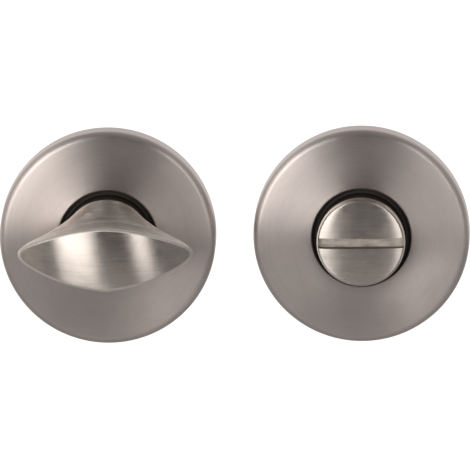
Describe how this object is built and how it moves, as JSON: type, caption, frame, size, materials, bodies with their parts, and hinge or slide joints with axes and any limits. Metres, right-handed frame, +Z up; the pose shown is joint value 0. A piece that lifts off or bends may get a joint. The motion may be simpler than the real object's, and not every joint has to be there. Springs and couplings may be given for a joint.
{
  "type": "bathroom thumb turn lock",
  "caption": "Bathroom door thumb turn with its coin-slot release: round brushed metal roses, an almond-shaped turn on a square spindle, and a slotted disc that opens the lock from outside.",
  "frame": {"origin": "centre of the thumb turn half on the face of the door, which is the plane Y = 0", "axes": "+X from the thumb turn half to the release half as they are laid out in the picture, +Y into the door, with both fronts facing -Y, +Z up"},
  "size_m": [0.113, 0.0842, 0.052],
  "materials": {
    "rose_metal": "concentric fine brushing, satin",
    "turn_metal": "straight horizontal brushing, satin",
    "disc_metal": "straight brushing across the face, satin",
    "plate_plastic": "moulded, fine texture",
    "ring_plastic": "moulded, smooth",
    "zinc_steel": "bright zinc plated",
    "journal_steel": "turned, bare steel",
    "spring_steel": "dark phosphated"
  },
  "bodies": {
    "fixed": {"turn_rose_cover": "rose_metal", "turn_base_plate": "plate_plastic", "turn_guide_ring": "ring_plastic", "turn_snap_ring": "spring_steel", "turn_screw_left": "zinc_steel", "turn_screw_right": "zinc_steel", "release_rose_cover": "rose_metal", "release_base_plate": "plate_plastic", "release_guide_ring": "ring_plastic", "release_snap_ring": "spring_steel", "release_sleeve_left": "zinc_steel", "release_sleeve_right": "zinc_steel"},
    "turn": {"thumb_turn": "turn_metal", "turn_journal": "journal_steel", "turn_spindle": "zinc_steel", "turn_cross_pin": "spring_steel", "turn_stop_washer": "spring_steel", "turn_wave_washer": "spring_steel", "turn_circlip": "spring_steel"},
    "release": {"release_disc": "disc_metal", "release_journal": "journal_steel", "release_socket": "zinc_steel", "release_stop_washer": "spring_steel", "release_wave_washer": "spring_steel", "release_circlip": "spring_steel"}
  },
  "joints": [
    {"name": "thumb_turn_hinge", "type": "hinge", "parent": "fixed", "child": "turn", "pos_m": [0, 0, 0], "axis": [0, 1, 0], "range_deg": [0, 90]},
    {"name": "release_disc_hinge", "type": "hinge", "parent": "fixed", "child": "release", "pos_m": [0.061, 0, 0], "axis": [0, -1, 0], "range_deg": [0, 90]}
  ]
}
